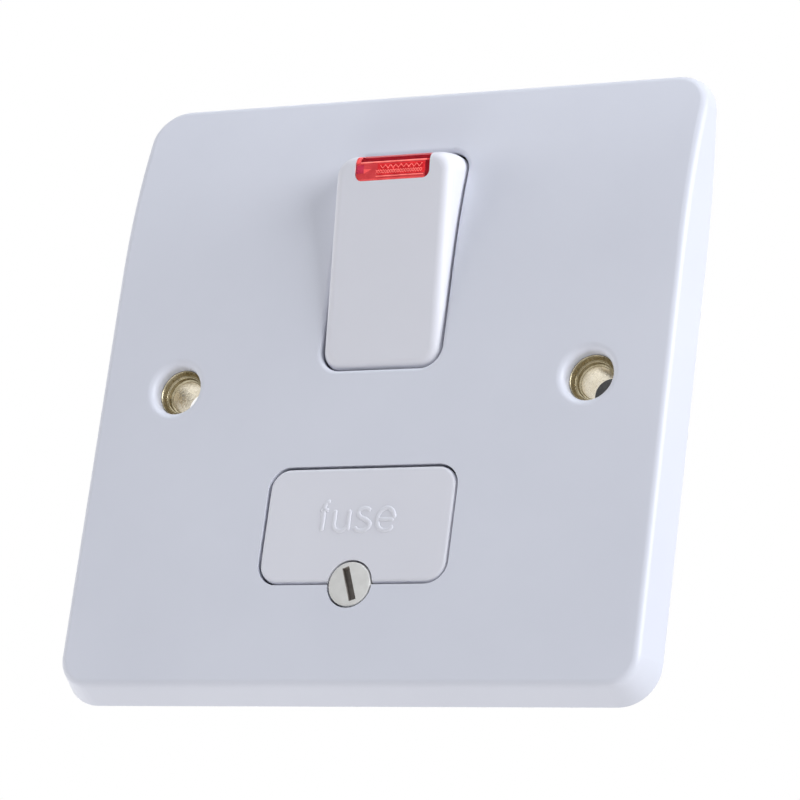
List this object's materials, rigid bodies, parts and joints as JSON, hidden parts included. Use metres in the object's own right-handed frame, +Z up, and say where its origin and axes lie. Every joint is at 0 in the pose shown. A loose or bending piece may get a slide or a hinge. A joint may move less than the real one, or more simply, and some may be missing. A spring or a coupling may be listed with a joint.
{
  "type": "switched fused spur unit",
  "caption": "Square white wall unit with a rocker switch under a red neon lens, a pull-out fuse carrier held by a slotted screw, and brass fixing eyelets.",
  "frame": {"origin": "midway between the two fixing holes, on the wall plane at the back of the plate's rim", "axes": "+X right seen from the front, +Y into the wall, +Z up; the front faces -Y"},
  "size_m": [0.086, 0.0243, 0.086],
  "materials": {
    "white_plastic": "gloss",
    "housing": "satin",
    "lens": "clear red",
    "screw_finish": "satin",
    "steel": "plated",
    "eyelet_brass": "turned",
    "brass": "pressed",
    "contact_silver": "satin",
    "plunger_plastic": "satin",
    "fuse_ceramic": "matt",
    "fuse_metal": "plated",
    "lamp_glass": "clear",
    "resistor": "coated",
    "lead_wire": "tinned"
  },
  "bodies": {
    "unit": {"faceplate": "white_plastic", "base_moulding": "housing", "assembly_screws": "steel", "terminal_screws": "steel", "fixing_eyelets": "eyelet_brass", "earth_strap": "brass", "earth_terminal": "brass", "supply_line_terminal": "brass", "supply_neutral_terminal": "brass", "load_neutral_terminal": "brass", "load_line_terminal": "brass", "line_bar": "brass", "neutral_bar": "brass", "fuse_clip_line": "brass", "fuse_clip_load": "brass", "thread_insert": "brass", "fixed_contacts": "contact_silver"},
    "switch": {"rocker": "white_plastic", "neon_lens": "lens", "neon_lamp": "lamp_glass", "neon_resistor": "resistor", "neon_leads": "lead_wire", "plunger_springs": "steel"},
    "plungers": {"contact_plungers": "plunger_plastic"},
    "line_arm": {"line_contact_arm": "brass", "line_contact_tip": "contact_silver"},
    "neutral_arm": {"neutral_contact_arm": "brass", "neutral_contact_tip": "contact_silver"},
    "carrier": {"fuse_carrier": "white_plastic", "fuse_barrel": "fuse_ceramic", "fuse_end_caps": "fuse_metal"},
    "captive_screw": {"carrier_screw": "screw_finish", "screw_retainer": "steel"}
  },
  "joints": [
    {"name": "rocker_tilt", "type": "hinge", "parent": "unit", "child": "switch", "pos_m": [0, -0.0001, 0.01725], "axis": [-1, 0, 0], "range_deg": [0, 15]},
    {"name": "plunger_press", "type": "slide", "parent": "switch", "child": "plungers", "axis": [0, -0.9914, -0.1305], "range_m": [0, 0.0008], "stiffness_N_per_m": 400, "springref_m": -0.0025, "deforming": ["plunger_springs"]},
    {"name": "line_arm_rock", "type": "hinge", "parent": "unit", "child": "line_arm", "pos_m": [0, 0.01145, 0.01725], "axis": [1, 0, 0], "range_deg": [0, 8]},
    {"name": "neutral_arm_rock", "type": "hinge", "parent": "unit", "child": "neutral_arm", "pos_m": [0, 0.01145, 0.01725], "axis": [1, 0, 0], "range_deg": [0, 8]},
    {"name": "carrier_pull", "type": "slide", "parent": "unit", "child": "carrier", "axis": [0, -1, 0], "range_m": [0, 0.024]},
    {"name": "screw_turn", "type": "hinge", "parent": "carrier", "child": "captive_screw", "pos_m": [0, -0.0046, -0.02785], "axis": [0, 1, 0], "continuous": true}
  ],
  "couplings": [
    {"joint": "line_arm_rock", "follows": "rocker_tilt", "ratio": 0.53333},
    {"joint": "neutral_arm_rock", "follows": "rocker_tilt", "ratio": 0.53333}
  ]
}
